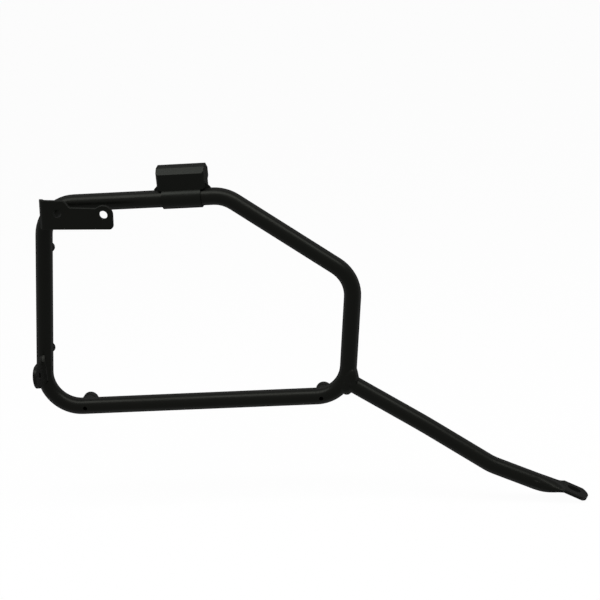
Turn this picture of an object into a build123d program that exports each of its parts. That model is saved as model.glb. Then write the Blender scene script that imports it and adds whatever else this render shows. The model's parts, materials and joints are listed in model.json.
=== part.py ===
from build123d import *
from math import cos, radians, sin, tan
import os

# Pannier frame for the side of a motorbike, in millimetres.
# X runs forward, Y runs outward to the case, Z runs up.
# The bottom tube lies on X, and the rear upright meets it at X = 0.
# The loop's centre plane is Y = 0.

# Loop tube
tube_d = 18.0
tube_wall = 2.0
bend_r = 37.0
bottom_len = 331.0
rear_h = 227.0
top_fall = 0.7
front_upright_h = 130.0
upright_lean = 8.0
slope_angle = 37.0

# Front arm
arm_root_angle = 58.5
arm_splay = 3.9
arm_run_1 = 96.0
arm_drop_1 = 32.7
arm_bow_r = 900.0
arm_run_2 = 82.2
arm_drop_2 = 34.4
arm_bend_r = 60.0
arm_run_3 = 46.0
arm_drop_3 = 24.9
squash_len = 34.0
squash_rise_ease = 2.6
squash_flat_ease = 3.0
squash_spread_ease = 1.6
squash_corner_ease = 6.0
flat_len = 26.5
flat_w = 25.5
flat_t = 4.2
flat_pitch = 28.0
flat_rise = 5.5
flat_end_r = 13.5
arm_slot_w = 10.0
arm_slot_len = 15.0
arm_slot_inset = 16.0

# Rear bracket and cross-brace tab
sheet_t = 4.0
sheet_edge_r = 0.5
bracket_inset = 46.6
bracket_tilt = 5.0
bracket_pitch = 47.7
bracket_hole_ahead = 27.8
bracket_hole_rise = 1.3
bracket_hole_d = 8.8
bracket_fold_r = 2.0
bracket_lobe_r = 9.7
bracket_waist = 6.4
bracket_above = 13.4
bracket_below_rear = 17.1
bracket_below_front = 14.9
bracket_rear = 19.5
bracket_foot_flat = 9.0
bracket_top_front = 7.0
bracket_step = 5.7
bracket_corner_r = 4.0
flange_end_y = 5.0
flange_top_drop = 19.0
flange_depth = 38.0
tab_z = 46.0
tab_w = 25.0
tab_reach = 27.5
tab_hole_d = 8.8

# Pegs
rear_peg_x = 46.9
front_peg_setback = 26.4
peg_d = 17.2
peg_neck_d = 16.4
peg_neck_y = 2.0
peg_head_t = 8.0
peg_end_y = 20.5
peg_edge_r = 1.2
peg_back_r = 0.3
peg_spigot_d = 8.0
peg_vent_d = 4.6

# Latch block, clamp and screws
latch_setback = 43.7
latch_len = 50.0
latch_height = 33.2
latch_top_fall = 1.3
latch_face_y = 6.0
latch_top_in = 0.1
latch_top_out = 10.5
latch_chamfer_h = 5.9
lip_y = 20.0
lip_drop = 6.8
lip_t = 2.6
hook_depth = 9.0
hook_h = 8.0
hook_floor_fall = 1.0
hook_end_flare = 2.0
latch_outer_y = 15.0
latch_foot_r = 3.0
latch_end_wall = 10.0
latch_end_chamfer = 2.0
latch_edge_r = 1.0
latch_collar_r = 14.5
latch_collar_end_r = 10.2
latch_collar_len = 4.2
clamp_wall = 1.8
clamp_len = 40.5
latch_fit = 0.15
latch_screw_d = 5.0
latch_screw_head_d = 9.2
latch_screw_pitch = 26.0
latch_spigot_d = 9.0
latch_spigot_end = 1.0
screw_clearance = 0.4
screw_tip_gap = 1.0
hex_af = 3.0
hex_depth = 2.0

# Rubber buffers
buffer_d = 11.0
buffer_h = 7.5
slope_buffer_h = 3.5
buffer_dome_r = 3.0
buffer_stem_d = 6.0
buffer_bulb_d = 8.0
upper_buffer_z = 177.5
lower_buffer_z = 65.0
rear_buffer_turn = 11.0
slope_buffer_at = 0.36
front_buffer_turn = 15.0

tube_r = tube_d / 2
bore_r = tube_r - tube_wall
lean = radians(upright_lean)
slope = radians(slope_angle)
fall = radians(top_fall)

# Corners of the loop's centre line, in the X-Z plane
corner_a = Vector(0, 0, 0)
corner_b = Vector(bottom_len, 0, 0)
corner_c = corner_b + Vector(front_upright_h * tan(lean), 0, front_upright_h)
corner_e = Vector(rear_h * tan(lean), 0, rear_h)
top_reach = (rear_h - front_upright_h - (corner_c.X - corner_e.X) * tan(slope)) / (tan(fall) - tan(slope))
corner_d = corner_e + Vector(top_reach, 0, -top_reach * tan(fall))


def upright_x(z):
    """X of the rear upright's centre line at the given height."""
    return z * tan(lean)


def top_z(x):
    """Height of the top tube's centre line at the given X."""
    return rear_h - (x - corner_e.X) * tan(fall)


latch_x = corner_d.X - latch_setback
front_peg_x = corner_b.X - front_peg_setback

# Centre line of the closed loop
with BuildLine() as loop_line:
    FilletPolyline(corner_a, corner_b, corner_c, corner_d, corner_e, radius=bend_r, close=True)

loop_path = loop_line.wires()[0]
loop_start = Plane(origin=loop_path @ 0, z_dir=loop_path % 0)

# Solid form of the loop, used to cope what is welded to it
with BuildPart() as loop_core:
    with BuildSketch(loop_start):
        Circle(tube_r)
    sweep(path=loop_path)

with BuildPart() as loop_bore:
    with BuildSketch(loop_start):
        Circle(bore_r)
    sweep(path=loop_path)


def outward(x, y, z):
    """Plane across the loop, with its normal pointing outward to the case."""
    return Plane(origin=(x, y, z), x_dir=(1, 0, 0), z_dir=(0, 1, 0))


def on_top(along, y):
    """Outward plane on the top tube, at a distance along it from the latch's middle."""
    x = latch_x + along * cos(fall)
    return outward(x, y, top_z(x))


# Loop tube with the holes for pegs, latch and buffers
slope_run = corner_d - corner_c
slope_point = corner_c + slope_run * (1 - slope_buffer_at)
upright_dir = Vector(sin(lean), 0, cos(lean))
slope_dir = slope_run.normalized()
front_inside = (slope_dir - upright_dir).normalized()
front_half_turn = radians(upright_dir.get_angle(slope_dir)) / 2
front_mid = corner_c + front_inside * (bend_r / cos(front_half_turn) - bend_r)
front_turn = radians(front_buffer_turn)
rear_inside = Vector(cos(lean), 0, -sin(lean))
rear_turn = radians(rear_buffer_turn)
rear_buffer_dir = rear_inside * sin(rear_turn) + Vector(0, cos(rear_turn), 0)

buffer_seats = {
    "upper_rear_buffer": Plane(
        origin=(upright_x(upper_buffer_z), 0, upper_buffer_z), z_dir=rear_buffer_dir
    ),
    "lower_rear_buffer": Plane(
        origin=(upright_x(lower_buffer_z), 0, lower_buffer_z), z_dir=rear_buffer_dir
    ),
    "slope_buffer": Plane(origin=slope_point, z_dir=(0, 1, 0)),
    "front_buffer": Plane(
        origin=front_mid,
        z_dir=front_inside * sin(front_turn) + Vector(0, cos(front_turn), 0),
    ),
}
latch_screw_at = [-latch_screw_pitch / 2, latch_screw_pitch / 2]

with BuildPart() as loop_tube:
    add(loop_core.part)
    add(loop_bore.part, mode=Mode.SUBTRACT)
    for seat in buffer_seats.values():
        with BuildSketch(seat):
            Circle(buffer_stem_d / 2)
        extrude(amount=tube_d, mode=Mode.SUBTRACT)
    for peg_x in (rear_peg_x, front_peg_x):
        with BuildSketch(outward(peg_x, 0, 0)):
            Circle(peg_spigot_d / 2)
        extrude(amount=tube_d, mode=Mode.SUBTRACT)
        with BuildSketch(outward(peg_x, 0, 0)):
            Circle(peg_vent_d / 2)
        extrude(amount=-tube_d, mode=Mode.SUBTRACT)
    for screw_at in latch_screw_at:
        with BuildSketch(on_top(screw_at, 0)):
            Circle(latch_screw_d / 2 + screw_clearance)
        extrude(amount=tube_d, mode=Mode.SUBTRACT)
        with BuildSketch(on_top(screw_at, 0)):
            Circle(latch_spigot_d / 2 + latch_fit)
        extrude(amount=-tube_d, mode=Mode.SUBTRACT)

# Front arm: three runs with a slight bow and a bend between them, and an end squashed flat
root_turn = radians(arm_root_angle)
root_bend_x = bottom_len - bend_r * tan(radians(90 - upright_lean) / 2)
arm_root = Vector(root_bend_x + bend_r * sin(root_turn), 0, bend_r - bend_r * cos(root_turn))
drop_1 = radians(arm_drop_1)
drop_2 = radians(arm_drop_2)
drop_3 = radians(arm_drop_3)
splay = radians(arm_splay)
run_1 = Vector(cos(drop_1) * cos(splay), -sin(splay), -sin(drop_1) * cos(splay))
run_2 = Vector(cos(drop_2) * cos(splay), -sin(splay), -sin(drop_2) * cos(splay))
run_3 = Vector(cos(drop_3), 0, -sin(drop_3))
arm_bow = arm_root + run_1 * arm_run_1
arm_knee = arm_bow + run_2 * arm_run_2
squash_start = arm_knee + run_3 * arm_run_3

with BuildLine() as arm_line:
    FilletPolyline(
        arm_root + run_1, arm_bow, arm_knee, squash_start, radius=[arm_bow_r, arm_bend_r]
    )

arm_path = arm_line.wires()[0]
arm_start = Plane(origin=arm_path @ 0, z_dir=arm_path % 0)
flat_dir = Vector(cos(radians(flat_pitch)), 0, -sin(radians(flat_pitch)))
squash_up = Vector(sin(drop_3), 0, cos(drop_3))


def squash_plane(part_way):
    """Plane across the tube, part of the way along the squashed length."""
    pitch = drop_3 + (radians(flat_pitch) - drop_3) * part_way
    rise = flat_rise * part_way**squash_rise_ease
    place = squash_start + run_3 * (squash_len * part_way) + squash_up * rise
    return Plane(origin=place, x_dir=(0, 1, 0), z_dir=(cos(pitch), 0, -sin(pitch)))


def squash_outline(part_way, inset):
    """Half width, half height and corner of the tube's section, inset by a wall."""
    half_w = tube_r + (flat_w / 2 - tube_r) * part_way**squash_spread_ease
    half_h = tube_r + (flat_t / 2 - tube_r) * part_way**squash_flat_ease
    round_x = half_w * cos(radians(45))
    round_y = half_h * sin(radians(45))
    corner_x = round_x + (flat_w / 2 - flat_t / 2 - round_x) * part_way**squash_corner_ease
    corner_y = round_y + (flat_t / 2 - round_y) * part_way**squash_corner_ease
    keep_w = 1 - inset / half_w
    keep_h = 1 - inset / half_h
    return half_w * keep_w, half_h * keep_h, corner_x * keep_w, corner_y * keep_h


with BuildPart() as arm_squash:
    for part_way in (0.0, 0.3, 0.55, 0.75, 0.9, 1.0):
        half_w, half_h, corner_x, corner_y = squash_outline(part_way, 0)
        with BuildSketch(squash_plane(part_way)):
            with BuildLine():
                if part_way < 1:
                    ThreePointArc((-corner_x, corner_y), (0, half_h), (corner_x, corner_y))
                else:
                    Line((-corner_x, corner_y), (corner_x, corner_y))
                ThreePointArc((corner_x, corner_y), (half_w, 0), (corner_x, -corner_y))
                if part_way < 1:
                    ThreePointArc((corner_x, -corner_y), (0, -half_h), (-corner_x, -corner_y))
                else:
                    Line((corner_x, -corner_y), (-corner_x, -corner_y))
                ThreePointArc((-corner_x, -corner_y), (-half_w, 0), (-corner_x, corner_y))
            make_face()
    loft()

with BuildPart() as arm_squash_bore:
    for part_way in (0.0, 0.3, 0.55, 0.75):
        half_w, half_h, corner_x, corner_y = squash_outline(part_way, tube_wall)
        with BuildSketch(squash_plane(part_way)):
            with BuildLine():
                ThreePointArc((-corner_x, corner_y), (0, half_h), (corner_x, corner_y))
                ThreePointArc((corner_x, corner_y), (half_w, 0), (corner_x, -corner_y))
                ThreePointArc((corner_x, -corner_y), (0, -half_h), (-corner_x, -corner_y))
                ThreePointArc((-corner_x, -corner_y), (-half_w, 0), (-corner_x, corner_y))
            make_face()
    loft()

flat_end = squash_plane(1.0)
flat_plane = Plane(origin=flat_end.origin, x_dir=flat_dir, z_dir=flat_end.y_dir)

with BuildPart() as arm_flat:
    with BuildSketch(flat_end):
        SlotOverall(flat_w, flat_t)
    extrude(amount=flat_len)
    with BuildSketch(flat_plane):
        with Locations((flat_len - flat_end_r, 0)):
            Circle(flat_end_r)
            Rectangle(flat_len, 2 * flat_end_r, align=(Align.MAX, Align.CENTER))
        with Locations((flat_len - arm_slot_inset, 0)):
            SlotOverall(arm_slot_len, arm_slot_w, mode=Mode.SUBTRACT)
    extrude(amount=flat_t, both=True, mode=Mode.INTERSECT)

with BuildPart() as front_arm:
    with BuildSketch(arm_start):
        Circle(tube_r)
    sweep(path=arm_path)
    add(arm_squash.part)
    add(arm_flat.part)
    with BuildSketch(arm_start):
        Circle(bore_r)
    sweep(path=arm_path, mode=Mode.SUBTRACT)
    add(arm_squash_bore.part, mode=Mode.SUBTRACT)
    add(loop_core.part, mode=Mode.SUBTRACT)

# Rear bracket: a plate with two holes, folded at its rear end and welded to the rear top bend
tilt = radians(bracket_tilt)
bracket_plane = Plane(
    origin=corner_e + Vector(bracket_hole_ahead, -bracket_inset, bracket_hole_rise),
    x_dir=(cos(tilt), 0, -sin(tilt)),
    z_dir=(0, -1, 0),
)
bracket_front = bracket_pitch + bracket_lobe_r

with BuildPart() as bracket_plate:
    with BuildSketch(bracket_plane) as bracket_sketch:
        with BuildLine():
            Polyline(
                (-bracket_rear, bracket_above),
                (bracket_top_front, bracket_above),
                (bracket_top_front + bracket_step, bracket_waist),
                (bracket_pitch, bracket_waist),
                (bracket_pitch, 0),
                (bracket_front, 0),
                (bracket_front, -bracket_below_front),
                (bracket_foot_flat - bracket_rear, -bracket_below_rear),
                (-bracket_rear, -bracket_below_rear),
                close=True,
            )
        make_face()
        with Locations((bracket_pitch, 0)):
            Circle(bracket_lobe_r)
        step_top = bracket_sketch.vertices().sort_by_distance(
            (bracket_top_front, bracket_above, 0)
        )[0]
        fillet(step_top, bracket_corner_r)
        step_foot = bracket_sketch.vertices().sort_by_distance(
            (bracket_top_front + bracket_step, bracket_waist, 0)
        )[0]
        fillet(step_foot, bracket_corner_r)
        lobe_foot_x = bracket_pitch - (bracket_lobe_r**2 - bracket_waist**2) ** 0.5
        lobe_foot = bracket_sketch.vertices().sort_by_distance(
            (lobe_foot_x, bracket_waist, 0)
        )[0]
        fillet(lobe_foot, bracket_corner_r)
        low_front = bracket_sketch.vertices().sort_by_distance(
            (bracket_front, -bracket_below_front, 0)
        )[0]
        fillet(low_front, bracket_corner_r)
        with Locations((0, 0), (bracket_pitch, 0)):
            Circle(bracket_hole_d / 2, mode=Mode.SUBTRACT)
    extrude(amount=sheet_t / 2, both=True)

fold_dir = bracket_plane.y_dir
fold_back = bracket_plane.x_dir * -1
fold_top = bracket_plane.from_local_coords((-bracket_rear, bracket_above, sheet_t / 2))
flange_plane = Plane(origin=fold_top, x_dir=(0, 1, 0), z_dir=fold_back)
flange_run = bracket_inset + sheet_t / 2 - flange_end_y
fold_len = bracket_above + bracket_below_rear

with BuildPart() as rear_bracket:
    add(bracket_plate.part)
    with BuildSketch(flange_plane):
        with BuildLine():
            Polyline(
                (0, 0),
                (sheet_t + bracket_fold_r, 0),
                (flange_run, flange_top_drop),
                (flange_run, flange_depth),
                (sheet_t + bracket_fold_r, fold_len),
                (0, fold_len),
                close=True,
            )
        make_face()
    extrude(amount=-sheet_t)
    fold_edges = rear_bracket.edges().filter_by(Axis(fold_top, fold_dir))
    outer_fold = fold_edges.sort_by_distance(fold_top)[0]
    fillet(outer_fold, bracket_fold_r + sheet_t)
    inner_corner = fold_top - fold_back * sheet_t + Vector(0, sheet_t, 0)
    inner_fold = rear_bracket.edges().filter_by(Axis(fold_top, fold_dir)).sort_by_distance(inner_corner)[0]
    fillet(inner_fold, bracket_fold_r)
    sheet_faces = [f for f in rear_bracket.faces() if f.area > sheet_t * flange_run]
    rim = [e for f in sheet_faces for e in f.outer_wire().edges()]
    ahead = Plane(fold_top, x_dir=(0, 1, 0), z_dir=fold_back * -1)
    front_rim = [e for e in rim if ahead.to_local_coords(e @ 0.5).Z > bracket_pitch]
    cross_rim = [e for e in rim if abs(e.tangent_at(0.5).dot(fold_dir)) < 0.99]
    fillet(front_rim + cross_rim, sheet_edge_r)
    add(loop_core.part, mode=Mode.SUBTRACT)

# Cross-brace tab on the inner side of the rear upright
tab_plane = Plane(origin=(upright_x(tab_z), 0, tab_z), x_dir=(0, -1, 0), z_dir=(1, 0, 0))

with BuildPart() as cross_brace_tab:
    with BuildSketch(tab_plane):
        with Locations((tab_reach / 2 + tube_r / 4, 0)):
            Rectangle(tab_reach - tube_r / 2, tab_w)
        with Locations((tab_reach, 0)):
            Circle(tab_w / 2)
            Circle(tab_hole_d / 2, mode=Mode.SUBTRACT)
    extrude(amount=sheet_t / 2, both=True)
    tab_rim = [e for f in cross_brace_tab.faces().filter_by(Axis.X) for e in f.outer_wire().edges()]
    fillet([e for e in tab_rim if (e @ 0.5).Y < -tube_r], sheet_edge_r)
    add(loop_core.part, mode=Mode.SUBTRACT)


def make_peg(peg_x):
    """Round-headed peg on the outer side of the bottom tube, with a spigot in the tube's wall."""
    with BuildPart() as peg:
        with BuildSketch(outward(peg_x, peg_end_y, 0)):
            Circle(peg_d / 2)
        extrude(amount=-peg_head_t)
        fillet(peg.faces().sort_by(Axis.Y)[-1].edges(), peg_edge_r)
        fillet(peg.faces().sort_by(Axis.Y)[0].edges(), peg_back_r)
        with BuildSketch(outward(peg_x, peg_neck_y, 0)):
            Circle(peg_neck_d / 2)
        extrude(amount=peg_end_y - peg_head_t - peg_neck_y)
        add(loop_core.part, mode=Mode.SUBTRACT)
        with BuildSketch(outward(peg_x, bore_r - tube_wall / 2, 0)):
            Circle(peg_spigot_d / 2)
        extrude(amount=2 * tube_wall)
    return peg.part


rear_peg = make_peg(rear_peg_x)
front_peg = make_peg(front_peg_x)

# Latch block on the top tube; its profile is drawn across the tube, Y to the right and Z up
latch_rear = -latch_len / 2
latch_front = latch_len / 2
seat_r = tube_r + latch_fit
clamp_r = seat_r + clamp_wall
screw_head_h = (latch_screw_head_d - latch_screw_d) / 2
face_foot = (clamp_r**2 - latch_face_y**2) ** 0.5
lip_top = latch_height - lip_drop
hook_top = lip_top - lip_t
hook_foot = hook_top - hook_h
hook_back = lip_y - hook_depth


def across(along):
    """Plane square to the top tube, at a distance along it from the latch's middle."""
    x = latch_x + along * cos(fall)
    return Plane(origin=(x, 0, top_z(x)), x_dir=(0, 1, 0), z_dir=(cos(fall), 0, -sin(fall)))


with BuildPart() as latch_block:
    with BuildSketch(across(latch_rear)):
        with BuildLine():
            Polyline(
                (0, -seat_r),
                (0, -clamp_r),
                (latch_outer_y - latch_foot_r, -clamp_r),
                (latch_outer_y, -clamp_r + latch_foot_r),
                (latch_outer_y, hook_foot - hook_floor_fall),
                (hook_back, hook_foot),
                (hook_back, hook_top),
                (lip_y, hook_top),
                (lip_y, lip_top),
                (latch_top_out, latch_height),
                (-latch_top_in, latch_height - latch_top_fall),
                (-latch_face_y, latch_height - latch_top_fall - latch_chamfer_h),
                (-latch_face_y, face_foot),
            )
            RadiusArc((-latch_face_y, face_foot), (0, clamp_r), clamp_r)
            Line((0, clamp_r), (0, seat_r))
            ThreePointArc((0, seat_r), (seat_r, 0), (0, -seat_r))
        make_face()
    extrude(amount=latch_len)
    face_edges = latch_block.edges().filter_by(Axis((0, 0, 0), (sin(fall), 0, cos(fall))))
    chamfer([e for e in face_edges if abs((e @ 0.5).Y + latch_face_y) < 0.01], latch_end_chamfer)
    with BuildSketch(across(latch_front - latch_end_wall)):
        with BuildLine():
            Polyline(
                (hook_back - lip_t, hook_foot - hook_floor_fall),
                (latch_outer_y, hook_foot - hook_floor_fall),
                (lip_y, hook_foot + hook_end_flare),
                (lip_y, lip_top),
                (hook_back - lip_t, lip_top),
                close=True,
            )
        make_face()
    extrude(amount=latch_end_wall)
    middle = across(0)
    long_edges = latch_block.edges().filter_by(Axis((0, 0, 0), middle.z_dir))
    upper_edges = [e for e in long_edges if middle.to_local_coords(e @ 0.5).Y > clamp_r]
    fillet([e for e in upper_edges if (e @ 0.5).Y < 0], latch_edge_r)
    for collar_root, collar_end in (
        (latch_rear, latch_rear - latch_collar_len),
        (latch_front, latch_front + latch_collar_len),
    ):
        for collar_at, collar_r in ((collar_root, latch_collar_r), (collar_end, latch_collar_end_r)):
            with BuildSketch(across(collar_at)):
                with BuildLine():
                    RadiusArc((0, collar_r), (collar_r, 0), collar_r)
                    Line((collar_r, 0), (seat_r, 0))
                    RadiusArc((seat_r, 0), (0, seat_r), -seat_r)
                    Line((0, seat_r), (0, collar_r))
                make_face()
        loft()
    for trim_at, trim_dir in ((-clamp_len / 2, -1), (clamp_len / 2, 1)):
        with BuildSketch(across(trim_at)):
            with Locations((0, 0)):
                Rectangle(latch_outer_y, 2 * clamp_r, align=(Align.MIN, Align.MAX))
        extrude(amount=trim_dir * latch_len, mode=Mode.SUBTRACT)
    for screw_at in latch_screw_at:
        with BuildSketch(on_top(screw_at, 0)):
            Circle(latch_screw_d / 2 + screw_clearance)
        extrude(amount=latch_outer_y, mode=Mode.SUBTRACT)
        with Locations(on_top(screw_at, latch_outer_y)):
            Cone(
                latch_screw_d / 2,
                latch_screw_head_d / 2 + screw_clearance,
                screw_head_h + screw_clearance,
                align=(Align.CENTER, Align.CENTER, Align.MAX),
                mode=Mode.SUBTRACT,
            )

# Inner half-shell of the latch, with a spigot for each screw in the tube's cross holes
with BuildPart() as latch_clamp:
    with BuildSketch(across(-clamp_len / 2)):
        with BuildLine():
            ThreePointArc((0, clamp_r), (-clamp_r, 0), (0, -clamp_r))
            Line((0, -clamp_r), (0, -seat_r))
            ThreePointArc((0, -seat_r), (-seat_r, 0), (0, seat_r))
            Line((0, seat_r), (0, clamp_r))
        make_face()
    extrude(amount=clamp_len)
    for screw_at in latch_screw_at:
        with BuildSketch(on_top(screw_at, -seat_r - clamp_wall / 2)):
            Circle(latch_spigot_d / 2)
        extrude(amount=seat_r + clamp_wall / 2 - latch_spigot_end)
        with BuildSketch(on_top(screw_at, -seat_r)):
            Circle(latch_screw_d / 2)
        extrude(amount=seat_r, mode=Mode.SUBTRACT)

with BuildPart() as latch_screws:
    for screw_at in latch_screw_at:
        with Locations(on_top(screw_at, latch_outer_y - screw_clearance)):
            Cone(
                latch_screw_d / 2,
                latch_screw_head_d / 2,
                screw_head_h,
                align=(Align.CENTER, Align.CENTER, Align.MAX),
            )
        with BuildSketch(on_top(screw_at, screw_tip_gap - seat_r)):
            Circle(latch_screw_d / 2)
        extrude(amount=seat_r - screw_tip_gap + latch_outer_y - screw_head_h)
        with BuildSketch(on_top(screw_at, latch_outer_y)):
            RegularPolygon(hex_af / 2, 6, major_radius=False)
        extrude(amount=-hex_depth - screw_clearance, mode=Mode.SUBTRACT)


def make_buffer(seat, height):
    """Domed rubber buffer whose stem snaps through the tube's wall."""
    with BuildPart() as bulb:
        with BuildSketch(seat.offset(bore_r - 2 * tube_wall)):
            Circle(buffer_bulb_d / 2)
        extrude(amount=2.5 * tube_wall)
        add(loop_tube.part, mode=Mode.SUBTRACT)
    with BuildPart() as head:
        with BuildSketch(seat):
            Circle(buffer_d / 2)
        extrude(amount=tube_r + height)
        top_face = head.faces().sort_by(Axis(seat.origin, seat.z_dir))[-1]
        fillet(top_face.edges(), buffer_dome_r)
        add(loop_core.part, mode=Mode.SUBTRACT)
        with BuildSketch(seat.offset(bore_r - tube_wall)):
            Circle(buffer_stem_d / 2)
        extrude(amount=2 * tube_wall + 1)
        add(bulb.part)
    return head.part


nodes = {
    "loop_tube": loop_tube.part,
    "front_arm": front_arm.part,
    "rear_bracket": rear_bracket.part,
    "cross_brace_tab": cross_brace_tab.part,
    "rear_peg": rear_peg,
    "front_peg": front_peg,
    "latch_block": latch_block.part,
    "latch_clamp": latch_clamp.part,
    "latch_screws": latch_screws.part,
}
for buffer_name, seat in buffer_seats.items():
    height = slope_buffer_h if buffer_name == "slope_buffer" else buffer_h
    nodes[buffer_name] = make_buffer(seat, height)

# The shared origin is midway between the bracket's holes, on the face that meets the machine
datum = bracket_plane.from_local_coords((bracket_pitch / 2, 0, sheet_t / 2))

os.makedirs("parts", exist_ok=True)
for node_name, solid in nodes.items():
    placed = solid.moved(Location(datum * -1))
    placed.label = node_name
    export_step(placed, f"parts/{node_name}.step")
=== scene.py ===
import json
from math import cos, pi, radians, sin

import bpy
from mathutils import Matrix, Vector
from mathutils.bvhtree import BVHTree


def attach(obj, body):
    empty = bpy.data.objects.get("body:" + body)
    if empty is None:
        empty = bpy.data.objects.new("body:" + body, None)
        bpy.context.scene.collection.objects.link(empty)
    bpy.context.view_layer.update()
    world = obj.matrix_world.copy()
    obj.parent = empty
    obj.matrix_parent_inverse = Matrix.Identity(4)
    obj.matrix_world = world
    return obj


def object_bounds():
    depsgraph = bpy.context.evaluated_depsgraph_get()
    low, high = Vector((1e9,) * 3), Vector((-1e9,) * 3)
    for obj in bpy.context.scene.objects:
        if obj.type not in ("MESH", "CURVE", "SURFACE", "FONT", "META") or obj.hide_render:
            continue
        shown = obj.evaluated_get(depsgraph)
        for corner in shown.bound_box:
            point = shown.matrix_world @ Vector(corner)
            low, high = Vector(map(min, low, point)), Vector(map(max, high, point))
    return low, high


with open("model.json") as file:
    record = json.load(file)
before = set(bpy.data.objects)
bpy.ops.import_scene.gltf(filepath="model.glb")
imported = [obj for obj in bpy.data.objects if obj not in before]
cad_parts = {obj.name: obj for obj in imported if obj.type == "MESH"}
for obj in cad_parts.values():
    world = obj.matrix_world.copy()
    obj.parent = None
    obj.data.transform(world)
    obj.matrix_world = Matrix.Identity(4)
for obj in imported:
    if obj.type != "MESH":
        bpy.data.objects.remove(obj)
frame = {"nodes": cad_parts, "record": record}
nodes = frame["nodes"]
cad_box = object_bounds()
scene = bpy.context.scene
scene.view_settings.view_transform = "Standard"

# Sizes repeated from the part, in millimetres, in the loop's own axes
tube_r = 9.0
sheet_t = 4.0
datum = Vector((83.4619, -48.6, 226.2213))
arm_root = Vector((330.384, 0.0, 17.668))
arm_drop = radians(32.7)
arm_splay = radians(3.9)
tab_place = Vector((6.465, 0.0, 46.0))
tab_half = 12.5
tab_round = 1.2
peg_places = {"rear": 46.9, "front": 304.6}
peg_neck_r = 8.2
flange_top = Vector((41.445, -48.6, 243.349))
flange_lean = radians(5.0)
camera_place = Vector((530.8, -1546.1, 610.7))

# Weld legs in metres
arm_leg = 0.0044
peg_leg = 0.0013
tab_leg = 0.0026
flange_leg = 0.0024


def row(point):
    """A point of the loop's own axes, in metres in the part's frame."""
    return (Vector(point) - datum) * 0.001


# Node groups: effects that the finishes share
def new_group(name, inputs, outputs):
    """An empty node group with float inputs at their usual values, and float outputs."""
    group = bpy.data.node_groups.new(name, "ShaderNodeTree")
    for socket_name, value in inputs.items():
        socket = group.interface.new_socket(
            socket_name, in_out="INPUT", socket_type="NodeSocketFloat"
        )
        socket.default_value = value
    for socket_name in outputs:
        group.interface.new_socket(socket_name, in_out="OUTPUT", socket_type="NodeSocketFloat")
    return group, group.nodes.new("NodeGroupInput"), group.nodes.new("NodeGroupOutput")


def make_grain_group():
    """Fine surface grain as a height, and a slow mottle over the whole piece."""
    group, given, result = new_group(
        "surface_grain", {"Grain Scale": 900.0, "Mottle Scale": 40.0}, ["Height", "Mottle"]
    )
    place = group.nodes.new("ShaderNodeTexCoord")
    grain = group.nodes.new("ShaderNodeTexNoise")
    grain.inputs["Detail"].default_value = 2.0
    grain.inputs["Roughness"].default_value = 0.55
    mottle = group.nodes.new("ShaderNodeTexNoise")
    mottle.inputs["Detail"].default_value = 4.0
    group.links.new(place.outputs["Object"], grain.inputs["Vector"])
    group.links.new(place.outputs["Object"], mottle.inputs["Vector"])
    group.links.new(given.outputs["Grain Scale"], grain.inputs["Scale"])
    group.links.new(given.outputs["Mottle Scale"], mottle.inputs["Scale"])
    group.links.new(grain.outputs["Fac"], result.inputs["Height"])
    group.links.new(mottle.outputs["Fac"], result.inputs["Mottle"])
    return group


def make_dust_group():
    """A thin film of dust that lies on faces that look up."""
    group, given, result = new_group(
        "settled_dust", {"Dust Scale": 160.0, "Dust Cover": 0.5}, ["Dust"]
    )
    place = group.nodes.new("ShaderNodeTexCoord")
    specks = group.nodes.new("ShaderNodeTexNoise")
    specks.inputs["Detail"].default_value = 6.0
    facing = group.nodes.new("ShaderNodeNewGeometry")
    split = group.nodes.new("ShaderNodeSeparateXYZ")
    upward = group.nodes.new("ShaderNodeMapRange")
    upward.inputs["From Min"].default_value = 0.2
    cover = group.nodes.new("ShaderNodeMath")
    cover.operation = "MULTIPLY"
    film = group.nodes.new("ShaderNodeMath")
    film.operation = "MULTIPLY"
    group.links.new(place.outputs["Object"], specks.inputs["Vector"])
    group.links.new(given.outputs["Dust Scale"], specks.inputs["Scale"])
    group.links.new(facing.outputs["Normal"], split.inputs["Vector"])
    group.links.new(split.outputs["Z"], upward.inputs["Value"])
    group.links.new(specks.outputs["Fac"], cover.inputs[0])
    group.links.new(given.outputs["Dust Cover"], cover.inputs[1])
    group.links.new(cover.outputs["Value"], film.inputs[0])
    group.links.new(upward.outputs["Result"], film.inputs[1])
    group.links.new(film.outputs["Value"], result.inputs["Dust"])
    return group


grain_group = make_grain_group()
dust_group = make_dust_group()


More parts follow.
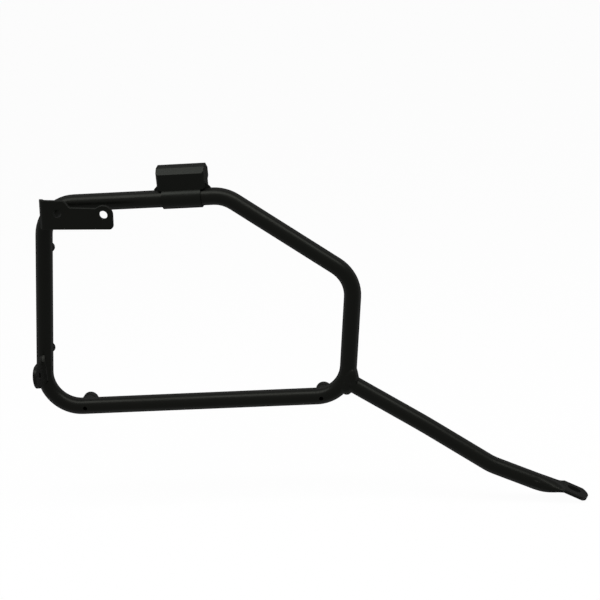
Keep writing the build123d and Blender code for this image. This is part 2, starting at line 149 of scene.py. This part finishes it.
def make_finish(
    name,
    dark,
    pale,
    dust,
    roughness,
    rim_roughness,
    grain,
    mottle,
    bump,
    sheen_level,
    sheen_tint,
    metal=0.0,
):
    """A finish with grain, mottle and dust, whose gloss fades where it is seen at a slant."""
    finish = bpy.data.materials.new(name)
    finish.use_nodes = True
    tree = finish.node_tree
    shader = tree.nodes["Principled BSDF"]
    shader.inputs["Metallic"].default_value = metal
    shader.inputs["Specular IOR Level"].default_value = sheen_level
    shader.inputs["Specular Tint"].default_value = (*sheen_tint, 1.0)
    surface = tree.nodes.new("ShaderNodeGroup")
    surface.node_tree = grain_group
    surface.inputs["Grain Scale"].default_value = grain
    surface.inputs["Mottle Scale"].default_value = mottle
    film = tree.nodes.new("ShaderNodeGroup")
    film.node_tree = dust_group
    film.inputs["Dust Cover"].default_value = dust["cover"]
    film.inputs["Dust Scale"].default_value = dust["scale"]

    # Colour: dark to pale by the mottle, under the dust
    tone = tree.nodes.new("ShaderNodeMix")
    tone.data_type = "RGBA"
    tone.inputs["A"].default_value = (*dark, 1.0)
    tone.inputs["B"].default_value = (*pale, 1.0)
    dusty = tree.nodes.new("ShaderNodeMix")
    dusty.data_type = "RGBA"
    dusty.inputs["B"].default_value = (*dust["colour"], 1.0)
    tree.links.new(surface.outputs["Mottle"], tone.inputs["Factor"])
    tree.links.new(tone.outputs["Result"], dusty.inputs["A"])
    tree.links.new(film.outputs["Dust"], dusty.inputs["Factor"])
    tree.links.new(dusty.outputs["Result"], shader.inputs["Base Color"])

    # Gloss: uneven by the mottle, and duller toward the rims
    gloss = tree.nodes.new("ShaderNodeMapRange")
    gloss.inputs["From Min"].default_value = 0.3
    gloss.inputs["From Max"].default_value = 0.7
    gloss.inputs["To Min"].default_value = roughness[0]
    gloss.inputs["To Max"].default_value = roughness[1]
    slant = tree.nodes.new("ShaderNodeLayerWeight")
    slant.inputs["Blend"].default_value = 0.5
    rim = tree.nodes.new("ShaderNodeMapRange")
    rim.interpolation_type = "SMOOTHSTEP"
    rim.inputs["From Min"].default_value = 0.38
    rim.inputs["From Max"].default_value = 0.76
    rim_gloss = tree.nodes.new("ShaderNodeMix")
    rim_gloss.inputs["B"].default_value = rim_roughness
    tree.links.new(surface.outputs["Mottle"], gloss.inputs["Value"])
    tree.links.new(slant.outputs["Facing"], rim.inputs["Value"])
    tree.links.new(rim.outputs["Result"], rim_gloss.inputs["Factor"])
    tree.links.new(gloss.outputs["Result"], rim_gloss.inputs["A"])
    tree.links.new(rim_gloss.outputs["Result"], shader.inputs["Roughness"])

    # Relief of the grain
    relief = tree.nodes.new("ShaderNodeBump")
    relief.inputs["Strength"].default_value = bump["strength"]
    relief.inputs["Distance"].default_value = bump["distance"]
    tree.links.new(surface.outputs["Height"], relief.inputs["Height"])
    tree.links.new(relief.outputs["Normal"], shader.inputs["Normal"])
    return finish


powder_coat = make_finish(
    "satin_black_powder_coat",
    dark=(0.0017, 0.0018, 0.0015),
    pale=(0.0024, 0.0025, 0.0021),
    dust={"cover": 0.05, "scale": 150.0, "colour": (0.02, 0.02, 0.021)},
    roughness=(0.31, 0.37),
    rim_roughness=0.9,
    grain=850.0,
    mottle=35.0,
    bump={"strength": 0.12, "distance": 0.0002},
    sheen_level=0.067,
    sheen_tint=(0.97, 1.0, 0.89),
)
latch_plastic = make_finish(
    "grained_black_plastic",
    dark=(0.0014, 0.0015, 0.0012),
    pale=(0.0020, 0.0021, 0.0017),
    dust={"cover": 0.08, "scale": 220.0, "colour": (0.025, 0.025, 0.025)},
    roughness=(0.27, 0.35),
    rim_roughness=0.95,
    grain=2600.0,
    mottle=60.0,
    bump={"strength": 0.25, "distance": 0.00012},
    sheen_level=0.069,
    sheen_tint=(0.93, 1.0, 0.89),
)
buffer_rubber = make_finish(
    "black_buffer_rubber",
    dark=(0.0030, 0.0030, 0.0030),
    pale=(0.0048, 0.0048, 0.0048),
    dust={"cover": 0.14, "scale": 420.0, "colour": (0.03, 0.03, 0.029)},
    roughness=(0.68, 0.8),
    rim_roughness=1.0,
    grain=3200.0,
    mottle=180.0,
    bump={"strength": 0.2, "distance": 0.0001},
    sheen_level=0.07,
    sheen_tint=(1.0, 1.0, 1.0),
)
screw_steel = make_finish(
    "blackened_screw_steel",
    dark=(0.035, 0.035, 0.036),
    pale=(0.07, 0.07, 0.071),
    dust={"cover": 0.03, "scale": 300.0, "colour": (0.05, 0.05, 0.05)},
    roughness=(0.32, 0.45),
    rim_roughness=0.5,
    grain=1800.0,
    mottle=220.0,
    bump={"strength": 0.08, "distance": 0.0001},
    sheen_level=0.5,
    sheen_tint=(1.0, 1.0, 1.0),
    metal=1.0,
)
finish_of_slot = {
    "powder_coat": powder_coat,
    "latch_plastic": latch_plastic,
    "buffer_rubber": buffer_rubber,
    "screw_steel": screw_steel,
}
for subpart in frame["record"]["subparts"]:
    node = nodes[subpart["node"]]
    node.data.materials.clear()
    node.data.materials.append(finish_of_slot[subpart["material_slot"]])

# Weld beads, laid along the seams where the welded pieces meet the loop
loop_mesh = nodes["loop_tube"].data
loop_tree = BVHTree.FromPolygons(
    [v.co for v in loop_mesh.vertices], [p.vertices for p in loop_mesh.polygons]
)


def trace_seam(rays):
    """Where rays of a start, an aim and the welded piece's side meet the loop.

    Each seam point is a place on the loop, the loop's normal there, and the side.
    """
    seam = []
    for start, aim, side in rays:
        hit, normal, _, _ = loop_tree.ray_cast(row(start), aim)
        if hit is None:
            continue
        if normal.dot(aim) > 0:
            normal = -normal
        seam.append((hit, normal, side.normalized()))
    return seam


def smooth_seam(seam, closed):
    """Averages each seam point with two neighbours on either hand."""
    count = len(seam)
    smoothed = []
    for i in range(count):
        near = [i + k for k in range(-2, 3)]
        near = [k % count if closed else min(max(k, 0), count - 1) for k in near]
        place = sum((seam[k][0] for k in near), Vector()) / len(near)
        normal = sum((seam[k][1] for k in near), Vector()).normalized()
        side = sum((seam[k][2] for k in near), Vector()).normalized()
        smoothed.append((place, normal, side))
    return smoothed


def even_seam(seam, closed, step):
    """The seam again, with even steps along its length, and that length."""
    points = seam + [seam[0]] if closed else seam
    spans = [(points[i + 1][0] - points[i][0]).length for i in range(len(points) - 1)]
    total = sum(spans)
    count = max(8, round(total / step))
    even = []
    span = 0
    before = 0.0
    for i in range(count if closed else count + 1):
        target = total * i / count
        while span < len(spans) - 1 and before + spans[span] < target:
            before += spans[span]
            span += 1
        share = (target - before) / max(spans[span], 1e-9)
        ends = zip(points[span], points[span + 1])
        even.append(tuple(first.lerp(second, share) for first, second in ends))
    return even, total


def plain_spread(side):
    """The same fillet all along the seam."""
    return 1.0, 1.0, 0.2


# How a bead is laid: the pitch of its ripples in metres, then shares of its own size
ripple_pitch = 0.0018
ripple_bow = 0.45
ripple_depth = 0.07
ripple_edge = 0.7
valley_size = 0.93
tuck = 0.08
end_taper = 1.2
end_size = 0.25

# How finely a bead is meshed
steps_per_ripple = 9
across_count = 15


def hand_sway(travel):
    """The slow unevenness of a bead laid by hand, as a share of its size."""
    return 0.06 * sin(travel / 0.0061) + 0.04 * sin(travel / 0.0023 + 1.3)


def lay_bead(name, seam, closed, leg, spread=plain_spread, toe=1.0):
    """A rippled bead between the loop and a welded piece, tucked a little under both.

    spread gives, as shares of leg, its width on the loop, its width on the piece and its crown.
    A toe below 1 makes the crown start more steeply at the edge on the loop.
    An open bead tapers toward its ends.
    """
    seam, total = even_seam(smooth_seam(seam, closed), closed, ripple_pitch / steps_per_ripple)
    ripples = max(3, round(total / ripple_pitch))
    rows = len(seam)
    verts, faces = [], []
    for i, (place, normal, side) in enumerate(seam):
        run = i / (rows if closed else rows - 1)
        on_loop = (side - normal * side.dot(normal)).normalized()
        on_piece = (normal - side * normal.dot(side)).normalized()
        size = leg
        if not closed:
            size *= min(1.0, min(run, 1 - run) * total / (end_taper * leg) + end_size)
        wide, tall, crown = (size * share for share in spread(side))
        crown_dir = (normal + side * 2).normalized()
        sway = hand_sway(run * total)
        for k in range(across_count):
            across = -tuck + (1 + 2 * tuck) * k / (across_count - 1)
            hump = sin(pi * across)
            phase = run * ripples + ripple_bow * (1 - (2 * across - 1) ** 2)
            ripple = (phase % 1.0) ** ripple_edge * max(0.0, hump)
            grow = valley_size + sway + ripple_depth * ripple
            reach = on_loop * wide * (1 - across) * grow
            foot = loop_tree.find_nearest(place + reach)[0]
            rise = on_piece * tall * across * grow
            arch = max(0.0, hump) ** toe if across < 0.5 else hump
            verts.append(foot + rise + crown_dir * crown * arch * grow)
    for i in range(rows if closed else rows - 1):
        here, there = i * across_count, (i + 1) % rows * across_count
        for k in range(across_count - 1):
            faces.append((here + k, here + k + 1, there + k + 1, there + k))
    if not closed:
        last = (rows - 1) * across_count
        faces.append(tuple(range(across_count)))
        faces.append(tuple(last + k for k in reversed(range(across_count))))
    mesh = bpy.data.meshes.new(name)
    mesh.from_pydata(verts, [], faces)
    mesh.validate()
    mesh.shade_smooth()
    bead = bpy.data.objects.new(name, mesh)
    scene.collection.objects.link(bead)
    mesh.materials.append(powder_coat)
    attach(bead, "root")


outward = Vector((0, 1, 0))


def turns(count):
    """Even turns of a full circle."""
    return [2 * pi * i / count for i in range(count)]


def spoke(turn):
    """A direction square to Y, turned from +X toward +Z."""
    return Vector((cos(turn), 0, sin(turn)))


# Arm's weld, met by rays that run back along the arm's skin
arm_dir = Vector(
    (cos(arm_drop) * cos(arm_splay), -sin(arm_splay), -sin(arm_drop) * cos(arm_splay))
)
arm_up = arm_dir.cross(outward).normalized()
arm_out = arm_up.cross(arm_dir).normalized()
arm_ray_start = 60
arm_rays = []
for turn in turns(240):
    radial = arm_up * cos(turn) + arm_out * sin(turn)
    arm_rays.append((arm_root + arm_dir * arm_ray_start + radial * tube_r, -arm_dir, radial))


def arm_weld_spread(side):
    """Long up the upright at the top, with a tongue on the inner flank, and full below."""
    up, out = side.dot(arm_up), side.dot(arm_out)
    top = max(0.0, up)
    tongue = max(0.0, up * 0.77 - out * 0.64) ** 8
    below = max(0.0, -up) ** 2
    return (
        1.0 + 1.1 * top + 0.75 * tongue + 0.4 * below,
        0.9 + 0.1 * top + 0.65 * tongue + 0.4 * below,
        0.05 - 0.17 * top**4 + 0.4 * tongue + 0.3 * below,
    )


lay_bead("weld_arm", trace_seam(arm_rays), True, arm_leg, spread=arm_weld_spread, toe=0.5)

# Pegs' welds, round their necks, met by rays from beyond the outer side
peg_ray_y = 30
for end, peg_x in peg_places.items():
    neck = Vector((peg_x, peg_ray_y, 0))
    peg_rays = [(neck + spoke(turn) * peg_neck_r, -outward, spoke(turn)) for turn in turns(180)]
    lay_bead(f"weld_{end}_peg", trace_seam(peg_rays), True, peg_leg)

# Tab's weld, round the tab's edge, met by rays from beyond the inner side
# At the top end the bead wraps forward onto the upright
tab_ray_y = -60
tab_corner_steps = 24
tab_wrap = 3.0
tab_rays = []
for corner_x, corner_z, first_turn in ((1, 1, 90), (1, -1, 0), (-1, -1, -90), (-1, 1, -180)):
    centre = Vector(
        (corner_x * (sheet_t / 2 - tab_round), 0, corner_z * (tab_half - tab_round))
    )
    for i in range(tab_corner_steps + 1):
        radial = spoke(radians(first_turn - 90 * i / tab_corner_steps))
        shift = Vector((tab_wrap * max(0.0, radial.z) ** 3, tab_ray_y, 0))
        tab_rays.append((tab_place + centre + radial * tab_round + shift, outward, radial))


def tab_weld_spread(side):
    """Nearly twice as full at the tab's top end."""
    full = 1.0 + 0.9 * max(0.0, side.z) ** 3
    return full, full, 0.06


lay_bead("weld_tab", trace_seam(tab_rays), True, tab_leg, spread=tab_weld_spread)

# Bracket's welds, down both faces of its flange, met by rays from the inner side
flange_down = Vector((-sin(flange_lean), 0, -cos(flange_lean)))
flange_ahead = Vector((cos(flange_lean), 0, -sin(flange_lean)))
flange_ray_y = 10
flange_weld_from = 18.0
flange_weld_length = 18.5
flange_steps = 80
for face, ahead, side in (("rear", 0.0, -flange_ahead), ("front", sheet_t, flange_ahead)):
    flange_rays = []
    for i in range(flange_steps + 1):
        down = flange_weld_from + flange_weld_length * i / flange_steps
        start = flange_top + flange_down * down + flange_ahead * ahead + outward * flange_ray_y
        flange_rays.append((start, outward, side))
    lay_bead(f"weld_bracket_{face}", trace_seam(flange_rays), False, flange_leg)

# Floor, white to the camera and in reflections, with a little of its shade kept
floor_z = cad_box[0][2] - 0.0005
floor_reach = 14.0
floor_corners = [
    (-floor_reach, -floor_reach, floor_z),
    (floor_reach, -floor_reach, floor_z),
    (floor_reach, floor_reach, floor_z),
    (-floor_reach, floor_reach, floor_z),
]
floor_mesh = bpy.data.meshes.new("studio_floor")
floor_mesh.from_pydata(floor_corners, [], [(0, 1, 2, 3)])
floor = bpy.data.objects.new("studio_floor", floor_mesh)
scene.collection.objects.link(floor)


def seen_direct(tree):
    """1 for rays that show the background: from the camera, off gloss and through glass."""
    path = tree.nodes.new("ShaderNodeLightPath")
    first = tree.nodes.new("ShaderNodeMath")
    first.operation = "MAXIMUM"
    second = tree.nodes.new("ShaderNodeMath")
    second.operation = "MAXIMUM"
    tree.links.new(path.outputs["Is Camera Ray"], first.inputs[0])
    tree.links.new(path.outputs["Is Glossy Ray"], first.inputs[1])
    tree.links.new(first.outputs["Value"], second.inputs[0])
    tree.links.new(path.outputs["Is Transmission Ray"], second.inputs[1])
    return second.outputs["Value"]


floor_white_share = 0.97
floor_finish = bpy.data.materials.new("pale_studio_floor")
floor_finish.use_nodes = True
floor_tree = floor_finish.node_tree
floor_tree.nodes.remove(floor_tree.nodes["Principled BSDF"])
floor_matte = floor_tree.nodes.new("ShaderNodeBsdfDiffuse")
floor_matte.inputs["Color"].default_value = (0.82, 0.82, 0.82, 1.0)
floor_white = floor_tree.nodes.new("ShaderNodeEmission")
floor_white.inputs["Strength"].default_value = 1.0
floor_part = floor_tree.nodes.new("ShaderNodeMath")
floor_part.operation = "MULTIPLY"
floor_part.inputs[1].default_value = floor_white_share
floor_mix = floor_tree.nodes.new("ShaderNodeMixShader")
floor_output = floor_tree.nodes["Material Output"]
floor_tree.links.new(seen_direct(floor_tree), floor_part.inputs[0])
floor_tree.links.new(floor_part.outputs["Value"], floor_mix.inputs["Fac"])
floor_tree.links.new(floor_matte.outputs["BSDF"], floor_mix.inputs[1])
floor_tree.links.new(floor_white.outputs["Emission"], floor_mix.inputs[2])
floor_tree.links.new(floor_mix.outputs["Shader"], floor_output.inputs["Surface"])
floor_mesh.materials.append(floor_finish)

# Surround, white to the camera and in reflections, and a weak fill light on the object
fill_level = 0.1
white_level = 1.0
world = bpy.data.worlds.new("studio_surround")
scene.world = world
world.use_nodes = True
world_tree = world.node_tree
surround = world_tree.nodes["Background"]
surround.inputs["Color"].default_value = (1.0, 1.0, 1.0, 1.0)
level = world_tree.nodes.new("ShaderNodeMapRange")
level.inputs["To Min"].default_value = fill_level
level.inputs["To Max"].default_value = white_level
world_tree.links.new(seen_direct(world_tree), level.inputs["Value"])
world_tree.links.new(level.outputs["Result"], surround.inputs["Strength"])

# Soft box overhead, a little toward the camera
middle = (cad_box[0] + cad_box[1]) / 2
softbox_height = 1.15
lean_to_camera = radians(18)
softbox = bpy.data.lights.new("overhead_softbox", "AREA")
softbox.shape = "RECTANGLE"
softbox.size = 2.3
softbox.size_y = 0.52
softbox.energy = 29
softbox_stand = bpy.data.objects.new("overhead_softbox", softbox)
softbox_dir = Vector((0, -sin(lean_to_camera), cos(lean_to_camera)))
softbox_stand.location = middle + softbox_dir * softbox_height
softbox_stand.rotation_euler = softbox_dir.to_track_quat("Z", "Y").to_euler()
scene.collection.objects.link(softbox_stand)

# Camera at the photograph's place, with its right and down directions
camera_right = Vector((0.98802, 0.12282, -0.09346))
camera_down = Vector((-0.05036, -0.31587, -0.94746))
camera_ahead = camera_right.cross(camera_down)
camera_data = bpy.data.cameras.new("camera")
camera_data.sensor_fit = "HORIZONTAL"
camera_data.sensor_width = 36.0
camera_data.lens = 94.62
camera = bpy.data.objects.new("camera", camera_data)
camera_turn = Matrix((camera_right, -camera_down, -camera_ahead)).transposed().to_4x4()
camera.matrix_world = Matrix.Translation(row(camera_place)) @ camera_turn
scene.collection.objects.link(camera)
scene.camera = camera
